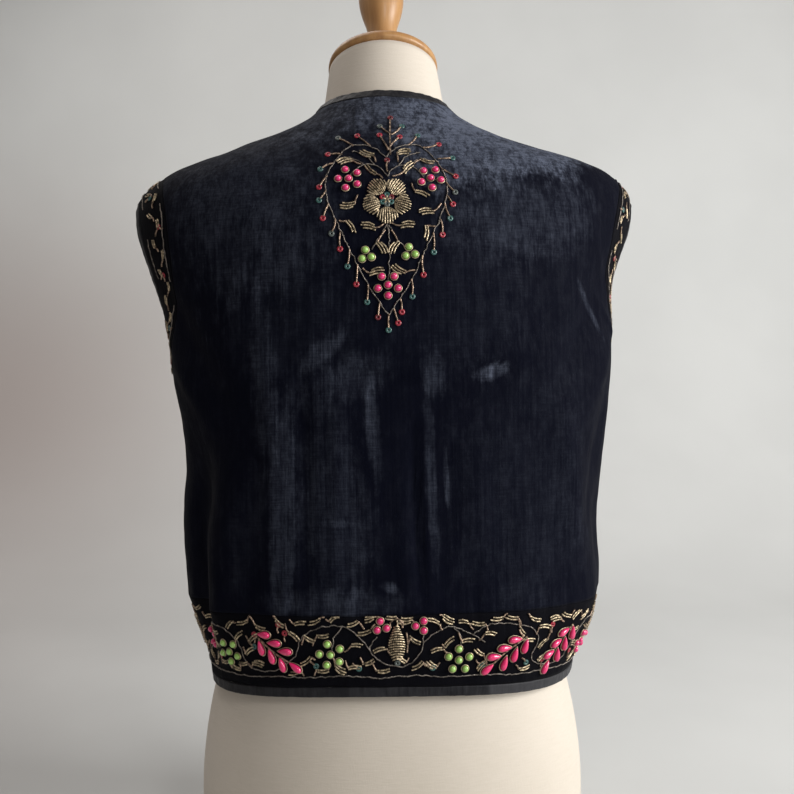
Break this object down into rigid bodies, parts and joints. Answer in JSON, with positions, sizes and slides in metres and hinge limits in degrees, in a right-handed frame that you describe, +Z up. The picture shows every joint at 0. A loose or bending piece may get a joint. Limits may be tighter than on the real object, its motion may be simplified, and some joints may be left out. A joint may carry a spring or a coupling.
{
  "type": "embroidered waistcoat on a limbless dress form",
  "caption": "Hip-length sleeveless velvet waistcoat with bound edges and embroidered hem and armhole bands, standing on a limbless form with a turned neck finial.",
  "frame": {"origin": "centre of the bounding box on the floor, under the dress form", "axes": "+Z up the body; the waistcoat's front faces -Y and its back +Y; +X is the wearer's left"},
  "size_m": [0.4507, 0.2613, 0.8229],
  "materials": {
    "velvet": "crushed silk velvet pile",
    "border_velvet": "short velvet pile, embroidered",
    "satin": "satin",
    "linen": "matte plain weave",
    "wood": "satin varnish"
  },
  "bodies": {
    "root": {"back_panel": "velvet", "front_panel_left": "velvet", "front_panel_right": "velvet", "hem_band_back": "border_velvet", "hem_band_left": "border_velvet", "hem_band_right": "border_velvet", "armhole_band_left": "border_velvet", "armhole_band_right": "border_velvet", "armhole_binding_left": "satin", "armhole_binding_right": "satin", "neck_binding": "satin", "hem_binding": "satin", "form_torso": "linen", "form_base_board": "wood", "neck_cap": "wood", "neck_finial": "wood"}
  },
  "joints": []
}
